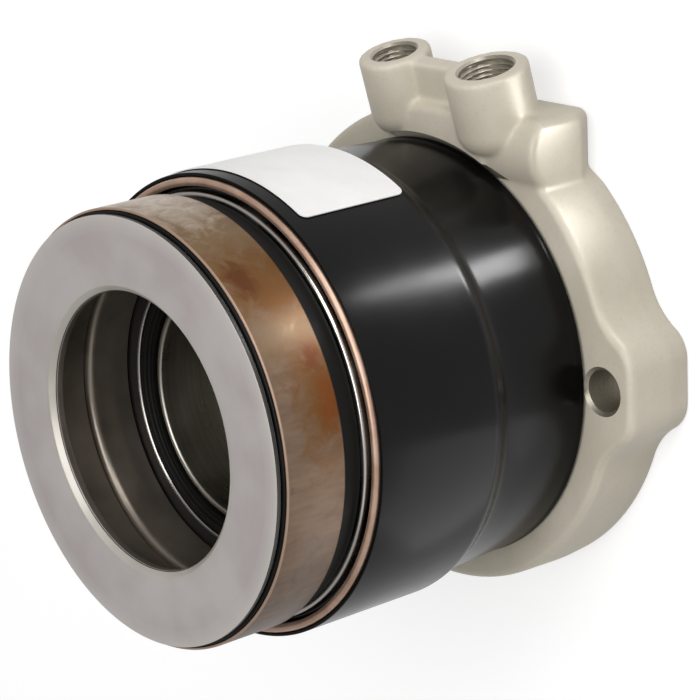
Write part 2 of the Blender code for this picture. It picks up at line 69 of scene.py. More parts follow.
def deselect():
    """Nothing selected, out of edit mode."""
    if bpy.context.object and bpy.context.object.mode == "EDIT":
        bpy.ops.object.mode_set(mode="OBJECT")
    bpy.ops.object.select_all(action="DESELECT")


def pick(piece, wanted, mode="FACE"):
    """Go into edit mode with the faces or edges whose middle and direction are wanted."""
    bpy.ops.object.mode_set(mode="EDIT")
    bpy.ops.mesh.select_mode(type=mode)
    bpy.ops.mesh.select_all(action="DESELECT")
    bpy.ops.object.mode_set(mode="OBJECT")
    mesh = piece.data
    if mode == "FACE":
        for face in mesh.polygons:
            face.select = wanted(face.center, face.normal)
    else:
        for edge in mesh.edges:
            a, b = (mesh.vertices[i].co for i in edge.vertices)
            edge.select = wanted((a + b) / 2, (b - a).normalized())
    bpy.ops.object.mode_set(mode="EDIT")


def face_outwards():
    """Select the whole mesh in edit mode, with its faces pointing out of it."""
    bpy.ops.mesh.select_all(action="SELECT")
    bpy.ops.mesh.normals_make_consistent(inside=False)


def placed():
    """The primitive just added, with its place, turn and size put into its mesh."""
    bpy.ops.object.transform_apply(location=True, rotation=True, scale=True)
    return bpy.context.object


def face_on(name, points):
    """A flat face on an outline of points, ready to be pulled up."""
    deselect()
    bpy.ops.mesh.primitive_circle_add(vertices=len(points), fill_type="NGON")
    made = bpy.context.object
    made.name = made.data.name = name
    for vertex, point in zip(made.data.vertices, points):
        vertex.co = point
    return made


def take(piece, tool, operation):
    """Cut a tool out of a piece, or add it, with the tool's own finish on the new faces."""
    step = piece.modifiers.new(tool.name, "BOOLEAN")
    step.operation, step.solver, step.object = operation, "MANIFOLD", tool
    deselect()
    bpy.context.view_layer.objects.active = piece
    bpy.ops.object.modifier_apply(modifier=step.name)
    bpy.data.objects.remove(tool)


# The flange's outline, from the tip of one ear round to the other and back. An ear has a flat end
# between two rounded corners, and runs out to the flange through a long hollow.
corner_place = Vector((ear_reach - ear_corner, ear_flat))
far, near, apart = flange_radius + ear_fillet, ear_corner + ear_fillet, corner_place.length
along = (far ** 2 - near ** 2 + apart ** 2) / (2 * apart)
across = sqrt(far ** 2 - along ** 2)
ahead = corner_place.normalized()
root_place = along * ahead + across * Vector((-ahead.y, ahead.x))
root = degrees(atan2(root_place.y, root_place.x))
side = degrees(atan2(root_place.y - corner_place.y, root_place.x - corner_place.x))
ear_half = [(ear_reach, ear_flat / 2)] + arc(*corner_place, ear_corner, 0, side, 16)
ear_half += arc(*root_place, ear_fillet, side + 180, root + 180, 14)[1:]
block_start = 180 + degrees(acos(block_side / flange_radius))
block_last = 270 + degrees(asin(block_end / flange_radius))
outline = [(ear_reach, 0)] + ear_half
outline += arc(0, 0, flange_radius, root, 180 - root, 90)[1:-1]
outline += [(-x, y) for x, y in reversed(ear_half)] + [(-ear_reach, 0)] + [(-x, -y) for x, y in ear_half]
outline += arc(0, 0, flange_radius, 180 + root, block_start, 24)[1:]
outline += arc(-block_side + block_corner, -block_top + block_corner, block_corner, 180, 270, 10)
outline += [(block_end, -block_top)]
outline += arc(0, 0, flange_radius, block_last, 360 - root, 44)[:-1]
outline += [(x, -y) for x, y in reversed(ear_half)]

# Both halves of the mould have draft, so the flange is widest at the parting line
casting = face_on("housing_casting", [(x * rear_draft, y * rear_draft, -0.2 * mm) for x, y in outline])
pick(casting, lambda middle, way: True)
front_pull = flange_height + 0.2 * mm - parting_height
for pull, widen in ((parting_height, 1 / rear_draft), (front_pull, front_draft)):
    bpy.ops.mesh.extrude_region_move(TRANSFORM_OT_translate={"value": (0, 0, pull)})
    bpy.ops.transform.resize(value=(widen, widen, 1), center_override=(0, 0, 0))
face_outwards()
deselect()

# The round part narrows most towards the front, and the block's side towards the rear
front_radius, rear_side, rear_corner = 48.0 * mm, 28.8 * mm, -39.2 * mm
round_reach, block_near = 50 * mm, -43 * mm
for vertex in casting.data.vertices:
    x, y, z = vertex.co
    on_block = -block_side < x < block_end and y < block_near
    round_part = vertex.co.xy.length < round_reach and not on_block
    if z > flange_height and round_part:
        vertex.co.xy *= front_radius / vertex.co.xy.length
        if abs(x + block_side) < 0.3 * mm and y < 0:
            vertex.co.xy = -block_side, -sqrt(front_radius ** 2 - block_side ** 2)
    if z < 0 and x < -25 * mm and y < -37.0 * mm:
        vertex.co.x += block_side - rear_side
        vertex.co.y = min(y, rear_corner)
pick(casting, lambda middle, way: middle.z > flange_height - hair, "EDGE")
bpy.ops.mesh.bevel(offset=1.2 * mm, segments=4, affect="EDGES")
pick(casting, lambda middle, way: middle.z < 0, "EDGE")
bpy.ops.mesh.bevel(offset=0.9 * mm, segments=3, affect="EDGES")
deselect()

# The oil channel is a rounded ridge across the block that ends level with the block's side
channel_foot, channel_length = 7 * mm, 41.0 * mm
ridge = arc(-44.0 * mm, 9.8 * mm, 9.0 * mm, 40, 127, 24)
ridge = [(-37.1 * mm, channel_foot), *ridge, (-49.4 * mm, channel_foot)]
channel = face_on("channel", [(-block_side, y, z) for y, z in ridge])
pick(channel, lambda middle, way: True)
bpy.ops.mesh.extrude_region_move(TRANSFORM_OT_translate={"value": (channel_length, 0, 0)})
face_outwards()
pick(channel, lambda middle, way: middle.x < -block_side + hair and middle.z > 12 * mm, "EDGE")
bpy.ops.mesh.bevel(offset=1.4 * mm, segments=5, affect="EDGES")
deselect()

# Two bosses that lean forward, rounded where they run into the block, and a web between them
port_face, port_height, port_lean = 60.0 * mm, 17.2 * mm, radians(14.5)
port_way = Vector((0, -cos(port_lean), sin(port_lean)))
inlet_x, bleed_x, boss_depth = -18.0 * mm, 8.8 * mm, 17 * mm
bosses = []
for x, radius in ((inlet_x, 8.5 * mm), (bleed_x, 7.4 * mm)):
    face = Vector((x, -port_face, port_height))
    bpy.ops.mesh.primitive_cylinder_add(
        vertices=96, radius=radius, depth=boss_depth, rotation=(pi / 2 - port_lean, 0, 0),
        location=face - port_way * boss_depth / 2)
    boss = placed()
    pick(boss, lambda middle, way: (middle - face).dot(port_way) > -hair, "EDGE")
    bpy.ops.mesh.bevel(offset=0.6 * mm, segments=3, affect="EDGES")
    pick(boss, lambda middle, way: (middle - face).dot(port_way) < hair - boss_depth, "EDGE")
    bpy.ops.mesh.bevel(offset=5 * mm, segments=8, affect="EDGES")
    deselect()
    bosses.append(boss)
web_width, web_thickness, web_recess = bleed_x - inlet_x, 4.0 * mm, 0.6 * mm
web_front = Vector(((inlet_x + bleed_x) / 2, -port_face, port_height))
bpy.ops.mesh.primitive_cube_add(
    size=1, rotation=(pi / 2 - port_lean, 0, 0), scale=(web_width, web_thickness, boss_depth),
    location=web_front - port_way * (web_recess + boss_depth / 2))
web = placed()

# Between the bosses the channel has a flat front with a rounded ledge on top
ledge_front, ledge_top, ledge_depth, ledge_height = 19.0 * mm, -50.9 * mm, 11.0 * mm, 9.4 * mm
bpy.ops.mesh.primitive_cube_add(size=1, scale=(web_width, ledge_depth, ledge_height), location=(
    (inlet_x + bleed_x) / 2, ledge_top + ledge_depth / 2, ledge_front - ledge_height / 2))
ledge = placed()
pick(ledge, lambda middle, way: abs(middle.y - ledge_top) + abs(middle.z - ledge_front) < hair, "EDGE")
bpy.ops.mesh.bevel(offset=1.6 * mm, segments=5, affect="EDGES")

# Poured as one: joined, remeshed fine and eased, which rounds the edges and fills the corners
deselect()
for lump in (casting, channel, *bosses, web, ledge):
    lump.select_set(True)
bpy.context.view_layer.objects.active = casting
bpy.ops.object.join()
poured = casting.modifiers.new("poured", "REMESH")
poured.mode, poured.voxel_size = "VOXEL", 0.5 * mm
eased = casting.modifiers.new("eased", "SMOOTH")
eased.factor, eased.iterations = 0.5, 5
for step in (poured, eased):
    bpy.ops.object.modifier_apply(modifier=step.name)


def turn(name, corners, steps=192):
    """Round the corners (radius, height, rounding) of a section in mm and spin it about the axis."""
    deselect()
    bpy.ops.mesh.primitive_circle_add(vertices=len(corners), fill_type="NGON")
    made = bpy.context.object
    made.name = made.data.name = name
    places = [Vector((c[0] * mm, 0, c[1] * mm)) for c in corners]
    for vertex, place in zip(made.data.vertices, places):
        vertex.co = place
    for rounding in sorted({c[2] for c in corners if len(c) > 2}):
        rounded = [p for p, c in zip(places, corners) if len(c) > 2 and c[2] == rounding]
        bpy.ops.object.mode_set(mode="EDIT")
        bpy.ops.mesh.select_mode(type="VERT")
        bpy.ops.mesh.select_all(action="DESELECT")
        bpy.ops.object.mode_set(mode="OBJECT")
        for vertex in made.data.vertices:
            vertex.select = any((vertex.co - p).length < 0.002 * mm for p in rounded)
        bpy.ops.object.mode_set(mode="EDIT")
        bpy.ops.mesh.bevel(offset=rounding * mm, segments=4, affect="VERTICES")
        bpy.ops.object.mode_set(mode="OBJECT")
    bpy.ops.object.mode_set(mode="EDIT")
    bpy.ops.mesh.select_all(action="SELECT")
    bpy.ops.mesh.delete(type="ONLY_FACE")
    bpy.ops.mesh.select_all(action="SELECT")
    bpy.ops.mesh.spin(steps=steps, angle=tau, center=(0, 0, 0), axis=(0, 0, 1))
    bpy.ops.mesh.select_all(action="SELECT")
    bpy.ops.mesh.remove_doubles(threshold=0.001 * mm)
    bpy.ops.mesh.normals_make_consistent(inside=False)
    bpy.ops.object.mode_set(mode="OBJECT")
    return made


def srgb(*levels):
    """A colour as read off a screen, 0 to 255, in the linear values that a shader takes."""
    return (*[(v / 255 / 12.92) if v < 10.3 else ((v / 255 + 0.055) / 1.055) ** 2.4 for v in levels], 1.0)


def add(tree, kind, inputs, **settings):
    """Add a node, with each input a value or the output that feeds it."""
    made = tree.nodes.new(kind)
    for name, value in settings.items():
        setattr(made, name, value)
    for name, value in inputs.items():
        if isinstance(value, bpy.types.NodeSocket):
            tree.links.new(value, made.inputs[name])
        else:
            made.inputs[name].default_value = value
    return made


def mixed(tree, share, first, second):
    """The first colour going over to the second as the share rises to one."""
    return add(tree, "ShaderNodeMix", {0: share, 6: first, 7: second}, data_type="RGBA").outputs[2]


def ramp(tree, value, stops):
    """A colour read off a ramp of (position, colour) stops."""
    made = add(tree, "ShaderNodeValToRGB", {0: value})
    scale = made.color_ramp
    while len(scale.elements) < len(stops):
        scale.elements.new(0.5)
    for element, (position, colour) in zip(scale.elements, stops):
        element.position, element.color = position, colour
    return made.outputs["Color"]


def level(tree, value, low, high, out_low=0.0, out_high=1.0):
    """A value moved from one range to another and kept inside it."""
    return add(tree, "ShaderNodeMapRange", {0: value, 1: low, 2: high, 3: out_low, 4: out_high}).outputs[0]


def new_finish(name, roughness, metallic):
    """A bare material with its tree and its shader."""
    made = bpy.data.materials.new(name)
    made.use_nodes = True
    shader = made.node_tree.nodes["Principled BSDF"]
    shader.inputs["Roughness"].default_value = roughness
    shader.inputs["Metallic"].default_value = metallic
    return made, made.node_tree, shader


def coloured(tree, shader, share, first, second):
    """Give the surface the first colour, going over to the second as the share rises to one."""
    tree.links.new(mixed(tree, share, first, second), shader.inputs["Base Color"])


def roughened(tree, shader, value, low, high, smoothest, roughest):
    """Let the roughness follow a value from one range to another."""
    tree.links.new(level(tree, value, low, high, smoothest, roughest), shader.inputs["Roughness"])


def raised(tree, shader, height, distance, strength=1.0):
    """Let a height stand out of the surface by a distance."""
    bump = add(tree, "ShaderNodeBump", {"Height": height, "Distance": distance, "Strength": strength})
    tree.links.new(bump.outputs["Normal"], shader.inputs["Normal"])


# Grain is a group: three sizes of unevenness in one, for cast, moulded and painted skins
grain = bpy.data.node_groups.new("skin_grain", "ShaderNodeTree")
for name, default in (("Coarse", 60.0), ("Fine", 900.0), ("Seed", 0.0)):
    socket = grain.interface.new_socket(name, in_out="INPUT", socket_type="NodeSocketFloat")
    socket.default_value = default
for name in ("Patches", "Specks", "Height"):
    grain.interface.new_socket(name, in_out="OUTPUT", socket_type="NodeSocketFloat")
start = grain.nodes.new("NodeGroupInput")
end = grain.nodes.new("NodeGroupOutput")
place = add(grain, "ShaderNodeTexCoord", {}).outputs["Object"]
coarse = add(grain, "ShaderNodeTexNoise", {"Vector": place, "W": start.outputs["Seed"],
                                           "Scale": start.outputs["Coarse"], "Detail": 4.0, "Roughness": 0.6},
             noise_dimensions="4D").outputs[0]
fine = add(grain, "ShaderNodeTexNoise", {"Vector": place, "W": start.outputs["Seed"],
                                         "Scale": start.outputs["Fine"], "Detail": 3.0, "Roughness": 0.55},
           noise_dimensions="4D").outputs[0]
sum_of = add(grain, "ShaderNodeMath", {0: fine, 1: coarse}, operation="ADD").outputs[0]
grain.links.new(level(grain, coarse, 0.35, 0.65), end.inputs["Patches"])
grain.links.new(level(grain, fine, 0.35, 0.65), end.inputs["Specks"])
grain.links.new(sum_of, end.inputs["Height"])

# Turning marks are a group too: fine rings about the shaft axis, uneven from place to place
marks = bpy.data.node_groups.new("turning_marks", "ShaderNodeTree")
for name, default in (("Lines", 2500.0), ("Seed", 0.0)):
    socket = marks.interface.new_socket(name, in_out="INPUT", socket_type="NodeSocketFloat")
    socket.default_value = default
for name in ("Rings", "Patches", "Radius"):
    marks.interface.new_socket(name, in_out="OUTPUT", socket_type="NodeSocketFloat")
start = marks.nodes.new("NodeGroupInput")
end = marks.nodes.new("NodeGroupOutput")
place = add(marks, "ShaderNodeTexCoord", {}).outputs["Object"]
split = add(marks, "ShaderNodeSeparateXYZ", {0: place})
flat = add(marks, "ShaderNodeCombineXYZ", {0: split.outputs[0], 1: split.outputs[1]})
radius = add(marks, "ShaderNodeVectorMath", {0: flat.outputs[0]}, operation="LENGTH").outputs["Value"]
section = add(marks, "ShaderNodeCombineXYZ", {0: radius, 1: split.outputs[2]}).outputs[0]
rings = add(marks, "ShaderNodeTexNoise", {"Vector": section, "W": start.outputs["Seed"],
                                          "Scale": start.outputs["Lines"], "Detail": 3.0, "Roughness": 0.7},
            noise_dimensions="4D").outputs[0]
patches = add(marks, "ShaderNodeTexNoise", {"Vector": place, "W": start.outputs["Seed"], "Scale": 90.0,
                                            "Detail": 4.0}, noise_dimensions="4D").outputs[0]
marks.links.new(level(marks, rings, 0.3, 0.7), end.inputs["Rings"])
marks.links.new(level(marks, patches, 0.35, 0.65), end.inputs["Patches"])
marks.links.new(radius, end.inputs["Radius"])


def use(tree, group, **inputs):
    """Place a node group with its own values."""
    made = add(tree, "ShaderNodeGroup", {}, node_tree=group)
    for name, value in inputs.items():
        made.inputs[name].default_value = value
    return made.outputs


# As cast: a warm pale grey skin, a little darker in patches and very finely pitted
cast_finish, tree, shader = new_finish("cast_aluminium", 0.5, 0.1)
shader.inputs["Specular IOR Level"].default_value = 0.35
skin = use(tree, grain, Coarse=55.0, Fine=1500.0, Seed=1.0)
tone = mixed(tree, skin["Patches"], srgb(196, 188, 171), srgb(208, 200, 184))
tone = mixed(tree, level(tree, skin["Specks"], 0.0, 0.25, 0.12, 0.0), tone, srgb(150, 143, 128))
tree.links.new(tone, shader.inputs["Base Color"])
roughened(tree, shader, skin["Patches"], 0.0, 1.0, 0.48, 0.6)
raised(tree, shader, skin["Height"], 0.05 * mm, 0.5)

# Machined: brighter bare metal with fine rings
bore_finish, tree, shader = new_finish("machined_aluminium", 0.35, 0.8)
cutting = use(tree, marks, Lines=3200.0, Seed=2.0)
coloured(tree, shader, cutting["Rings"], srgb(150, 143, 130), srgb(180, 174, 160))
raised(tree, shader, cutting["Rings"], 0.02 * mm, 0.5)

casting.data.materials.clear()
casting.data.materials.append(cast_finish)


def machined(tool):
    """A tool that leaves bare machined metal on the faces that it cuts."""
    tool.data.materials.append(bore_finish)
    return tool


# The mounting face is milled flat, then the bore and the sleeve's seat are turned
deselect()
bpy.ops.mesh.primitive_cube_add(size=1, scale=(0.2, 0.2, 0.02), location=(0, 0, -0.01))
mill = placed()
take(casting, machined(mill), "DIFFERENCE")
bore = turn("bore_tool", [
    (0, -1), (29.3, -1), (29.3, 2.8), (24.7, 2.8), (24.7, 3.7), (26.5, 3.7), (26.5, 5.8), (24.7, 5.8),
    (24.7, 6.5), (33.6, 6.5), (33.6, 16.8), (44.9, 16.8), (44.9, 93), (0, 93)])
take(casting, machined(bore), "DIFFERENCE")

# Bolt holes with a small countersink
bolt_place = 47.5 * mm
for place in (-bolt_place, bolt_place):
    drill = turn("bolt_drill", [(0, -1), (4.3, -1), (4.3, 15.8), (5.3, 16.8), (5.3, 20), (0, 20)], 64)
    for vertex in drill.data.vertices:
        vertex.co.x += place
    take(casting, machined(drill), "DIFFERENCE")

# Ports: a countersink, a helical thread and a thin drilling down to the cylinder, all in mm from
# the port's face along its own axis
first, last, row, thread_depth, cylinder_radius = -0.6, -11.5, 0.125, 0.5, 31.6
port_depth, countersink, proud = 12, 0.5, 0.8
for x, bore_radius, drill_radius in ((inlet_x, 5.5, 1.6), (bleed_x, 4.5, 1.4)):
    reach = (port_face / mm - sqrt(cylinder_radius ** 2 - (x / mm) ** 2)) / cos(port_lean)
    rows = [(bore_radius, last + row * i) for i in range(int((first - last) / row) + 1)]
    tap = turn("port_tap", [
        (0, -reach), (drill_radius, -reach), (drill_radius, -port_depth - bore_radius / 2),
        (bore_radius, -port_depth), *rows, (bore_radius, -countersink),
        (bore_radius + countersink + proud, proud), (0, proud)], 96)
    for vertex in tap.data.vertices:
        height = vertex.co.z / mm
        if last < height < first:
            wave = (height + degrees(atan2(vertex.co.y, vertex.co.x)) / 360) % 1.0
            depth = thread_depth * max(0.0, 1 - abs(wave - 0.5) * 2.4)
            depth *= min(1, (first - height) * 2, (height - last) * 2)
            vertex.co.xy *= 1 + depth / bore_radius
    tap.rotation_euler.x = pi / 2 - port_lean
    tap.location = (x, -port_face, port_height)
    deselect()
    tap.select_set(True)
    bpy.context.view_layer.objects.active = tap
    bpy.ops.object.transform_apply(location=True, rotation=True, scale=True)
    take(casting, machined(tap), "DIFFERENCE")

# The cylinder barrel and the grooved spigot stand on the flange, inside the sleeve
barrel = turn("barrel", [(33.1, 10), (41.3, 10), (41.3, 18.15), (39.5, 18.15), (39.5, 20.25), (41.3, 20.25),
                         (41.3, 22.0, 0.3), (36.6, 22.0), (36.6, 52.3, 0.3), (33.1, 52.3, 0.3)])
take(casting, machined(barrel), "UNION")
groove = turn("face_groove", [(38.5, -1), (40.9, -1), (40.9, 2.2), (38.5, 2.2)])
take(casting, machined(groove), "DIFFERENCE")

# The cuts leave a few slivers thinner than a hair, which are merged away
pick(casting, lambda middle, way: True)
bpy.ops.mesh.remove_doubles(threshold=0.0005 * mm)
bpy.ops.mesh.dissolve_degenerate(threshold=0.0005 * mm)
face_outwards()
deselect()


def fit(piece, finish, slot, body, *nodes, smooth=35):
    """Give a piece its finish and shading, and stand it in for its CAD nodes on their body."""
    if finish:
        piece.data.materials.clear()
        piece.data.materials.append(finish)
    deselect()
    piece.select_set(True)
    bpy.context.view_layer.objects.active = piece
    bpy.ops.object.shade_smooth_by_angle(angle=radians(smooth))
    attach(piece, body)
    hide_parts(*nodes)


fit(casting, None, "cast_aluminium", "housing_body", "housing")

# Guide tube
# A thin steel tube, flanged at the rear and ground on the outside, on which the piston slides.
# Its front end shows inside the bearing.
tube_finish, tree, shader = new_finish("ground_tube_steel", 0.3, 1.0)
cutting = use(tree, marks, Lines=2600.0, Seed=3.0)
coloured(tree, shader, cutting["Rings"], srgb(150, 146, 138), srgb(186, 182, 172))
roughened(tree, shader, cutting["Patches"], 0, 1, 0.24, 0.4)
raised(tree, shader, cutting["Rings"], 0.02 * mm, 0.4)
tube = turn("guide_tube_turned", [(23.0, 0.3, 0.3), (29.0, 0.3, 0.2), (29.0, 2.5, 0.2), (24.4, 2.5, 0.3),
                                  (24.4, 69.7, 0.5), (23.0, 69.7, 0.7)])
fit(tube, tube_finish, "bright_steel", "housing_body", "guide_tube")

# Shaft seal
# A rubber lip bonded in a pressed steel case, pushed into the rear end of the guide tube, with
# a garter spring of fine wire that keeps the lip on the shaft.
case = turn("shaft_seal_case_pressed", [
    (19.5, 3.0, 0.2), (22.7, 3.0, 0.6), (22.7, 10.4, 0.2), (21.7, 10.4, 0.2), (21.7, 3.9, 0.3),
    (19.5, 3.9, 0.2)])
fit(case, tube_finish, "bright_steel", "housing_body", "shaft_seal_case")
rubber_finish, tree, shader = new_finish("black_rubber", 0.45, 0.0)
shader.inputs["Specular IOR Level"].default_value = 0.15
skin = use(tree, grain, Coarse=120.0, Fine=2500.0, Seed=4.0)
coloured(tree, shader, skin["Patches"], srgb(12, 12, 11), srgb(20, 19, 18))
roughened(tree, shader, skin["Patches"], 0, 1, 0.38, 0.6)
raised(tree, shader, skin["Height"], 0.02 * mm, 0.5)
lip = turn("shaft_seal_lip_moulded", [
    (18.0, 4.2, 0.2), (21.4, 4.2, 0.3), (21.4, 10.0, 0.3), (20.6, 10.0, 0.3), (20.6, 5.8, 0.4),
    (18.9, 5.8, 0.4), (18.7, 8.6, 0.4), (17.5, 8.0, 0.2)])
fit(lip, rubber_finish, "black_rubber", "housing_body", "shaft_seal_lip")

# Outer sleeve
# A deep-drawn steel tube over the spring, enamelled glossy black. Behind the step it is drawn in
# a little and tapers down to the flange.
enamel_finish, tree, shader = new_finish("black_enamel", 0.3, 0.0)
shader.inputs["Specular IOR Level"].default_value = 0.12
skin = use(tree, grain, Coarse=45.0, Fine=420.0, Seed=5.0)
coloured(tree, shader, skin["Patches"], srgb(9, 9, 8), srgb(13, 12, 12))
roughened(tree, shader, skin["Patches"], 0, 1, 0.2, 0.27)
raised(tree, shader, skin["Height"], 0.04 * mm, 0.2)
sleeve = turn("outer_sleeve_drawn", [
    (41.6, 17.2, 0.2), (43.5, 17.2, 0.3), (43.2, 18.4, 0.3), (44.0, 35.3, 1.5), (44.4, 39.1, 1.0),
    (45.3, 40.9, 0.8), (45.9, 42.5, 0.8), (45.9, 71.5, 0.2), (45.25, 71.5, 0.15), (45.25, 70.5, 0.1),
    (43.4, 70.3, 0.1), (43.4, 45.3, 1.0), (42.5, 41.3, 1.0), (41.6, 31.3, 1.0)], 256)
fit(sleeve, enamel_finish, "black_enamel", "housing_body", "outer_sleeve")

# Stop ring
# Round copper-plated wire, sprung into the sleeve's mouth, where it stops the bearing carrier. It
# is open by a few degrees at the far side.
copper_finish, tree, shader = new_finish("coppered_wire", 0.35, 0.85)
skin = use(tree, grain, Coarse=160.0, Fine=1800.0, Seed=6.0)
coloured(tree, shader, skin["Patches"], srgb(190, 154, 132), srgb(214, 184, 164))
roughened(tree, shader, skin["Patches"], 0, 1, 0.4, 0.52)
raised(tree, shader, skin["Height"], 0.01 * mm, 0.5)
ring_radius, ring_height, ring_wire, opening = 44.2 * mm, 71.45 * mm, 0.85 * mm, radians(3)
deselect()
bpy.ops.mesh.primitive_circle_add(vertices=24, radius=ring_wire, fill_type="NGON", rotation=(pi / 2, 0, 0),
                                  location=(ring_radius, 0, ring_height))
ring = placed()
ring.name = ring.data.name = "stop_ring_wire"
pick(ring, lambda middle, way: True)
bpy.ops.transform.rotate(value=-(pi / 2 + opening), orient_axis="Z", center_override=(0, 0, 0))
bpy.ops.mesh.spin(steps=240, angle=tau - 2 * opening, center=(0, 0, 0), axis=(0, 0, 1))
face_outwards()
deselect()
fit(ring, copper_finish, "coppered_wire", "housing_body", "stop_ring")

# Label
# A bare white paper label with rounded corners, stuck round the side of the sleeve that faces
# the ports.
label_radius, label_half, label_low, label_high = 46.1 * mm, radians(28.8), 42.9 * mm, 68.1 * mm
half_width, half_height, corner = label_radius * label_half, (label_high - label_low) / 2, 1.6 * mm
paper_finish, tree, shader = new_finish("white_paper", 0.5, 0.0)
skin = use(tree, grain, Coarse=80.0, Fine=3500.0, Seed=7.0)
coloured(tree, shader, skin["Patches"], srgb(243, 242, 240), srgb(251, 250, 249))
raised(tree, shader, skin["Specks"], 0.01 * mm, 0.4)
deselect()
bpy.ops.mesh.primitive_grid_add(x_subdivisions=96, y_subdivisions=48, size=1)
label = bpy.context.object
label.name = label.data.name = "label_paper"
for vertex in label.data.vertices:
    x, y = vertex.co.x * 2 * half_width, vertex.co.y * 2 * half_height
    past = Vector((abs(x) - half_width + corner, abs(y) - half_height + corner))
    if past.x > 0 and past.y > 0:
        past *= max(past) / past.length
        x = (half_width - corner + past.x) * (1 if x > 0 else -1)
        y = (half_height - corner + past.y) * (1 if y > 0 else -1)
    around = x / label_radius - pi / 2
    vertex.co = label_radius * cos(around), label_radius * sin(around), (label_low + label_high) / 2 + y
paper = label.modifiers.new("paper", "SOLIDIFY")
paper.thickness, paper.offset = 0.22 * mm, 1.0
bpy.context.view_layer.objects.active = label
bpy.ops.object.modifier_apply(modifier=paper.name)
fit(label, paper_finish, "white_paper", "housing_body", "label")

# Bearing carrier
# A pressed steel plate on the end of the piston, with a skirt over the spring and a bright thin
# rim round the bearing.
rim_finish, tree, shader = new_finish("bright_steel", 0.22, 1.0)
cutting = use(tree, marks, Lines=1800.0, Seed=8.0)
coloured(tree, shader, cutting["Rings"], srgb(176, 174, 170), srgb(214, 212, 208))
roughened(tree, shader, cutting["Patches"], 0, 1, 0.16, 0.34)
raised(tree, shader, cutting["Rings"], 0.01 * mm, 0.5)
# Near-black steel painted as shade, for faces that sit down in narrow gaps
shade_dark_finish, tree, shader = new_finish("dark_steel_painted_shade", 0.4, 0.0)
skin = use(tree, grain, Coarse=90.0, Fine=1600.0, Seed=14.0)
coloured(tree, shader, skin["Patches"], srgb(16, 15, 14), srgb(26, 24, 22))
raised(tree, shader, skin["Height"], 0.01 * mm, 0.4)
carrier = turn("bearing_carrier_pressed", [
    (28.3, 69.6, 0.2), (36.9, 69.6, 0.4), (36.9, 66.6, 0.2), (43.1, 66.6, 0.2), (43.1, 70.3, 0.6),
    (42.4, 70.3, 0.3), (42.4, 72.7, 0.6), (40.8, 72.7, 0.35), (40.8, 71.1, 0.2), (28.3, 71.1, 0.5)], 256)
fit(carrier, rim_finish, "bright_steel", "piston_body", "bearing_carrier")
# Only the rim's top and the inner lip show bare steel; the rest is painted near black, as the shade in the
# groove round the rim
carrier.data.materials.append(shade_dark_finish)
for face in carrier.data.polygons:
    distance = face.center.xy.length / mm
    bare = face.center.z > 70.5 * mm and (28.35 < distance < 28.9 or distance > 41)
    face.material_index = 0 if bare else 1

# Wiper
# A moulded rubber ring, pressed into the front end of the piston. It wipes the guide tube clean as
# the piston slides.
wiper = turn("inner_wiper_moulded", [
    (24.75, 67.0, 0.2), (28.0, 67.0, 0.3), (28.0, 70.9, 0.5), (26.6, 71.0, 0.3), (26.2, 69.9, 0.4),
    (24.75, 70.4, 0.15)])
fit(wiper, rubber_finish, "black_rubber", "piston_body", "inner_wiper")

# Bearing outer ring
# The fixed ring of the release bearing, a steel pressing gone brown with heat and oil: pale at
# the top, golden rust in two patches below that, and an even dull brown the rest of the way.
# Painted light is mixed into that colour: the side turned from the lamps is painted darker as shade,
# and a narrow stripe down the wall and a band on the front edge are painted pale as highlights.
stain_and_light_finish, tree, shader = new_finish("stained_steel", 0.42, 0.4)
shader.inputs["Specular IOR Level"].default_value = 0.2
place = add(tree, "ShaderNodeTexCoord", {}).outputs["Object"]
split = add(tree, "ShaderNodeSeparateXYZ", {0: place}).outputs
around = add(tree, "ShaderNodeMath", {0: split[1], 1: split[0]}, operation="ARCTAN2").outputs[0]
turned = add(tree, "ShaderNodeMath", {0: around, 1: -1.0, 2: 0.0}, operation="MULTIPLY_ADD").outputs[0]
turned = add(tree, "ShaderNodeMath", {0: turned, 1: tau, 2: 0.0}, operation="WRAP").outputs[0]
wall = add(tree, "ShaderNodeCombineXYZ", {0: turned, 1: split[2]}).outputs[0]
cloud = add(tree, "ShaderNodeTexNoise", {"Vector": place, "Scale": 240.0, "Detail": 6.0, "Roughness": 0.65,
                                         "Distortion": 0.6}).outputs[0]
drawn = add(tree, "ShaderNodeMapping", {"Vector": place, "Scale": (1000.0, 1000.0, 200.0)}).outputs[0]
streak = add(tree, "ShaderNodeTexNoise", {"Vector": drawn, "Scale": 0.5, "Detail": 4.0,
                                          "Roughness": 0.6}).outputs[0]


def blot(angle, height, half_angle, half_height, edge=0.5):
    """A ragged patch on the ring's wall, round a place given in degrees from the X axis and mm."""
    middle = (radians(angle), height * mm, 0)
    spread = (1 / radians(half_angle), 1 / (half_height * mm), 1.0)
    shifted = add(tree, "ShaderNodeVectorMath", {0: wall, 1: middle}, operation="SUBTRACT").outputs[0]
    sized = add(tree, "ShaderNodeVectorMath", {0: shifted, 1: spread}, operation="MULTIPLY").outputs[0]
    away = add(tree, "ShaderNodeVectorMath", {0: sized}, operation="LENGTH").outputs["Value"]
    ragged = add(tree, "ShaderNodeMath", {0: cloud, 1: 2.6, 2: away}, operation="MULTIPLY_ADD").outputs[0]
    return level(tree, ragged, 2.2 + edge, 2.2 - edge)


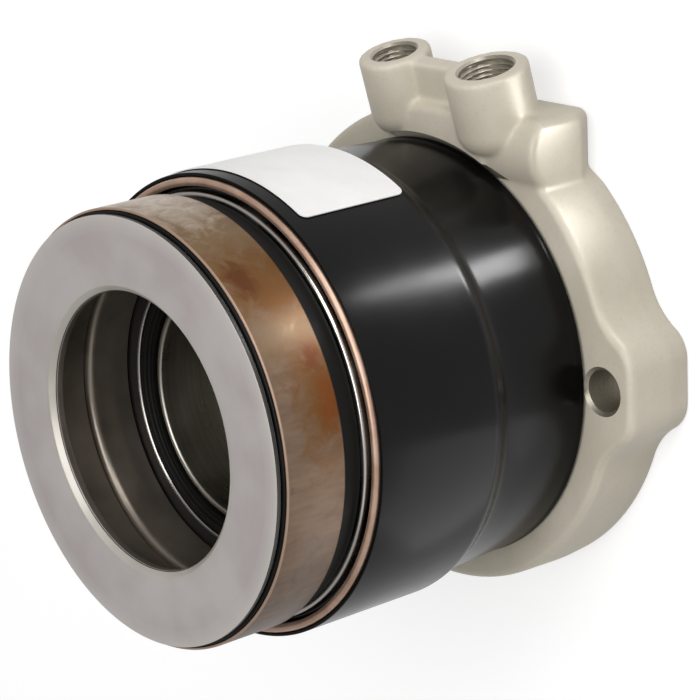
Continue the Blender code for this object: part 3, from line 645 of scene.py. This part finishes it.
stain_and_painted_light = mixed(tree, level(tree, streak, 0.3, 0.7), srgb(104, 84, 68), srgb(124, 102, 84))
stain_and_painted_light = mixed(tree, blot(112, 84.5, 20, 16, 0.9), stain_and_painted_light, srgb(116, 92, 60))
stain_and_painted_light = mixed(tree, blot(76, 86, 24, 14, 0.7), stain_and_painted_light, srgb(188, 174, 158))
stain_and_painted_light = mixed(tree, blot(131, 82.5, 14, 9), stain_and_painted_light, srgb(102, 66, 26))
stain_and_painted_light = mixed(tree, blot(129, 86.8, 5, 2.6), stain_and_painted_light, srgb(88, 48, 14))
stain_and_painted_light = mixed(tree, blot(160, 80.5, 18, 6.5), stain_and_painted_light, srgb(106, 70, 32))
stain_and_painted_light = mixed(tree, blot(152, 80.6, 5, 2.2), stain_and_painted_light, srgb(100, 54, 20))
stain_and_painted_light = mixed(tree, blot(164, 79.3, 7, 2.6), stain_and_painted_light, srgb(112, 60, 14))
# Painted highlight: a narrow pale stripe down the wall, about 145 degrees round
stain_and_painted_light = mixed(tree, blot(145, 87.5, 3.6, 9, 1.0), stain_and_painted_light, srgb(112, 92, 70))
stain_and_painted_light = mixed(tree, blot(203, 84, 9, 3.5, 0.9), stain_and_painted_light, srgb(120, 102, 88))
# Painted shade: the side about 268 degrees round, turned from the lamps, is painted dark brown
stain_and_painted_light = mixed(tree, blot(268, 84.5, 46, 60, 0.6), stain_and_painted_light, srgb(64, 50, 42))
# Painted highlight: the front edge, above 91 mm, is painted pale tan
stain_and_painted_light = mixed(tree, level(tree, split[2], 90.95 * mm, 91.1 * mm), stain_and_painted_light, srgb(168, 142, 124))
tree.links.new(stain_and_painted_light, shader.inputs["Base Color"])
cutting = use(tree, marks, Lines=1500.0, Seed=9.0)
roughened(tree, shader, cloud, 0.3, 0.7, 0.36, 0.5)
raised(tree, shader, cutting["Rings"], 0.02 * mm, 0.3)
oiled_finish, tree, shader = new_finish("oiled_steel", 0.4, 0.8)
cutting = use(tree, marks, Lines=1500.0, Seed=13.0)
coloured(tree, shader, cutting["Patches"], srgb(136, 126, 116), srgb(160, 150, 138))
roughened(tree, shader, cutting["Patches"], 0, 1, 0.3, 0.4)
raised(tree, shader, cutting["Rings"], 0.02 * mm, 0.3)
ball_row = 37.3, 83.6, 3.2      # radius of the row, height, and radius of the groove, in mm
race = arc(*ball_row, -5, -65, 8)
outer = turn("bearing_outer_ring_pressed", [
    (42.95, 91.3, 0.35), (42.45, 91.3, 0.1), (42.45, 89.6, 0.1), (40.6, 89.6, 0.2), *race,
    (race[-1][0], 78.6), (34.6, 78.6), (34.6, 81.2, 0.2), (31.5, 81.2, 1.7), (31.5, 71.4, 0.3),
    (38.1, 71.4, 0.2), (38.1, 77.6, 0.2), (42.95, 77.6, 0.5)], 256)
fit(outer, stain_and_light_finish, "stained_steel", "piston_body", "bearing_outer_ring")
outer.data.materials.append(oiled_finish)
for face in outer.data.polygons:
    face.material_index = 1 if face.center.xy.length < 40 * mm else 0

# Bearing seals
# Two black rubber rings: the dust ring behind the bearing, and the seal between the bearing's
# fixed ring and the thrust ring.
dust = turn("dust_ring_moulded", [(38.4, 73.0, 0.2), (41.6, 73.0, 0.2), (41.3, 73.4, 0.2), (41.3, 77.3, 0.3),
                                  (38.4, 77.3, 0.2)])
fit(dust, rubber_finish, "black_rubber", "piston_body", "dust_ring")
front = turn("front_seal_moulded", [
    (38.65, 88.3, 0.2), (40.3, 88.3, 0.2), (40.3, 89.9, 0.2), (42.3, 89.9, 0.3), (42.3, 91.6, 0.4),
    (38.65, 91.7, 0.3)])
fit(front, rubber_finish, "black_rubber", "piston_body", "bearing_front_seal")

# Thrust ring
# The turning ring of the bearing: hardened steel whose flat face is ground satin, paler where
# the edge of the bore is broken and near the rim.
thrust_finish, tree, shader = new_finish("ground_steel", 0.42, 0.5)
cutting = use(tree, marks, Lines=1300.0, Seed=10.0)
bands = ramp(tree, level(tree, cutting["Radius"], 0.027, 0.0422), [
    (0.0, srgb(186, 180, 168)), (0.09, srgb(190, 184, 174)), (0.17, srgb(193, 185, 183)),
    (0.75, srgb(190, 181, 180)), (0.9, srgb(202, 195, 191)), (1.0, srgb(212, 208, 200))])
tone = mixed(tree, level(tree, cutting["Rings"], 0.0, 1.0, 0.0, 0.25), bands, srgb(176, 168, 168))
tone = mixed(tree, level(tree, cutting["Patches"], 0.2, 0.9, 0.0, 0.4), tone, srgb(206, 201, 197))
tree.links.new(tone, shader.inputs["Base Color"])
roughened(tree, shader, cutting["Patches"], 0, 1, 0.36, 0.5)
raised(tree, shader, cutting["Rings"], 0.02 * mm, 0.5)
race = arc(*ball_row, 115, 175, 8)
thrust = turn("thrust_ring_ground", [
    (27.2, 90.3, 0.3), (27.2, 91.9, 0.2), (28.4, 93.0, 0.15), (41.9, 93.0, 0.12), (41.9, 92.0, 0.3),
    (race[0][0], 92.0), *race, (race[-1][0], 81.6), (32.4, 81.6, 0.3), (32.4, 88.8, 0.5),
    (30.9, 90.3, 0.3)], 256)
fit(thrust, thrust_finish, "ground_steel", "thrust_body", "thrust_ring")
thrust.data.materials.append(oiled_finish)
thrust.data.materials.append(shade_dark_finish)
# The rim's side and underside are painted near black as shade
rim_side, rim_underside, bore_end = 41.86 * mm, 92 * mm, 91.2 * mm
for face in thrust.data.polygons:
    if face.center.xy.length > rim_side or abs(face.center.z - rim_underside) < 0.1 * mm:
        face.material_index = 2
    elif face.center.z < bore_end:
        face.material_index = 1

# Preload spring
# Round spring wire, wound cold with its end turns closed, between two flat seats. It presses the
# bearing forward; here it is wound at one length, though on the part it shortens as the piston goes in.
spring_finish, tree, shader = new_finish("spring_steel", 0.4, 0.9)
skin = use(tree, grain, Coarse=90.0, Fine=1600.0, Seed=11.0)
coloured(tree, shader, skin["Patches"], srgb(88, 86, 86), srgb(122, 119, 118))
raised(tree, shader, skin["Height"], 0.02 * mm, 0.4)
low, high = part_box("preload_spring")
wire_radius, turns, steps, closed_turn, stroke = 1.4 * mm, 5.5, 24, 2.95 * mm, 15 * mm
coil_radius = high[0] - wire_radius
rise = (high[2] - low[2] - 2 * wire_radius - 2 * closed_turn) / (turns - 2)
deselect()
bpy.ops.curve.primitive_nurbs_path_add(radius=coil_radius, location=(0, 0, 0))
spring = bpy.context.object
spring.name = "preload_spring_wound"
spring.data.splines.clear()
wound = spring.data.splines.new("POLY")
wound.points.add(round(turns * steps))
for i, point in enumerate(wound.points):
    turn_number = i / steps
    height = closed_turn * min(turn_number, 1) + rise * max(0, min(turn_number, turns - 1) - 1)
    height += closed_turn * max(0, turn_number - turns + 1) + low[2] + wire_radius
    point.co = (coil_radius * cos(tau * turn_number), coil_radius * sin(tau * turn_number), height, 1)
spring.data.dimensions, spring.data.use_fill_caps = "3D", True
spring.data.bevel_depth, spring.data.bevel_resolution = wire_radius, 4
bpy.ops.object.convert(target="MESH")
spring.data.name = "preload_spring_wound"
bpy.ops.object.mode_set(mode="EDIT")
bpy.ops.mesh.select_all(action="SELECT")
bpy.ops.mesh.remove_doubles(threshold=0.001 * mm)
bpy.ops.mesh.normals_make_consistent(inside=False)
bpy.ops.object.mode_set(mode="OBJECT")
fit(spring, spring_finish, "spring_steel", "housing_body", "preload_spring", smooth=50)
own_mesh(spring)

# Pieces shut inside
# The piston, its seals, the cage, the balls and the spring's seats keep their CAD shapes, each
# with the finish of its real metal, rubber or plastic.
cage_finish, tree, shader = new_finish("cage_polymer", 0.5, 0.0)
skin = use(tree, grain, Coarse=110.0, Fine=2000.0, Seed=12.0)
coloured(tree, shader, skin["Patches"], srgb(66, 58, 46), srgb(86, 76, 60))
raised(tree, shader, skin["Height"], 0.02 * mm, 0.4)
inside = {thrust_finish: ["piston", "spring_seat_rear", "spring_seat_front"],
          rubber_finish: ["piston_seal", "guide_tube_o_ring", "sleeve_o_ring", "mounting_face_o_ring"],
          spring_finish: ["garter_spring"],
          cage_finish: ["ball_cage", "piston_guide_band"],
          rim_finish: [f"bearing_ball_{i:02d}" for i in range(1, 13)]}
for finish, names in inside.items():
    for name in names:
        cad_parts[name].data.materials.clear()
        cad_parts[name].data.materials.append(finish)

# Studio
# A plain white floor, a soft lamp low on the ports' side, a weaker one opposite, a third above,
# and the camera where the photographer stood.
deselect()
bpy.ops.mesh.primitive_plane_add(size=6)
floor = bpy.context.object
floor.name = floor.data.name = "floor"
floor_finish = bpy.data.materials.new("floor_white")
floor_finish.use_nodes = True
tree = floor_finish.node_tree
tree.nodes.clear()

# Grey paint under a glow that only the camera and reflections see: together they are white, and the
# object's shadow stays on it
seen = add(tree, "ShaderNodeLightPath", {}).outputs
direct = seen["Is Camera Ray"]
for ray in ("Is Glossy Ray", "Is Transmission Ray"):
    direct = add(tree, "ShaderNodeMath", {0: direct, 1: seen[ray]}, operation="ADD").outputs[0]
glow = add(tree, "ShaderNodeMath", {0: direct, 1: 0.6}, operation="MULTIPLY").outputs[0]
paint = add(tree, "ShaderNodeBsdfDiffuse", {"Color": (0.5, 0.5, 0.5, 1)}).outputs[0]
light = add(tree, "ShaderNodeEmission", {"Color": (1, 1, 1, 1), "Strength": glow}).outputs[0]
both = add(tree, "ShaderNodeAddShader", {0: paint, 1: light}).outputs[0]
add(tree, "ShaderNodeOutputMaterial", {"Surface": both})
floor.data.materials.append(floor_finish)

world = bpy.data.worlds.new("studio")
world.use_nodes = True
world.node_tree.nodes["Background"].inputs["Color"].default_value = (1, 1, 1, 1)
world.node_tree.nodes["Background"].inputs["Strength"].default_value = 0.4
bpy.context.scene.world = world


def softbox(name, way, distance, size, power):
    """An area lamp that looks at the middle of the object from a direction."""
    lamp = bpy.data.lights.new(name, "AREA")
    lamp.shape, lamp.size, lamp.energy = "DISK", size, power
    made = bpy.data.objects.new(name, lamp)
    bpy.context.scene.collection.objects.link(made)
    way = Vector(way).normalized()
    made.location = Vector((0, 0, 0.04)) + way * distance
    made.rotation_mode = "QUATERNION"
    made.rotation_quaternion = way.to_track_quat("Z", "Y")


softbox("key_softbox", (-0.50, -0.72, 0.26), 0.9, 0.4, 2.4)
softbox("fill_softbox", (-0.75, 0.55, 0.55), 1.1, 0.7, 0.5)
softbox("top_softbox", (-0.35, -0.25, 0.9), 1.0, 0.8, 5.8)

# Two low lamps lie beside the flange and show only as reflections: a bright streak along the
# sleeve, and a soft grey sheen on its lower side
for name, middle, along, size, power in (
        ("streak_lamp", (-0.0755, -0.0815), (-0.594, -0.804), (0.092, 0.010), 0.11),
        ("sheen_lamp", (-0.100, 0.070), (-0.9, 0.2), (0.09, 0.09), 0.04)):
    lamp = bpy.data.lights.new(name, "AREA")
    lamp.shape, lamp.size, lamp.size_y, lamp.energy = "RECTANGLE", *size, power
    made = bpy.data.objects.new(name, lamp)
    bpy.context.scene.collection.objects.link(made)
    made.location = (*middle, 0.002)
    made.rotation_euler = (pi, 0, atan2(along[1], along[0]))
    made.visible_camera = made.visible_diffuse = False

# The camera's lens in mm, the directions of its right, its top and its back, and where it stands
eye = bpy.data.cameras.new("photo_camera")
eye.lens, eye.sensor_width = 151.70, 36.0
eye.clip_start, eye.clip_end = 0.01, 20
camera = bpy.data.objects.new("photo_camera", eye)
bpy.context.scene.collection.objects.link(camera)
right, up, back = (-0.65144, 0.04202, -0.75753), (0.19126, -0.95712, -0.21756), (-0.73419, -0.28661, 0.61548)
stand = (-0.43161, -0.17269, 0.40132)
camera.matrix_world = Matrix((*zip(right, up, back, stand), (0, 0, 0, 1)))
bpy.context.scene.camera = camera
bpy.context.scene.view_settings.view_transform = "Standard"
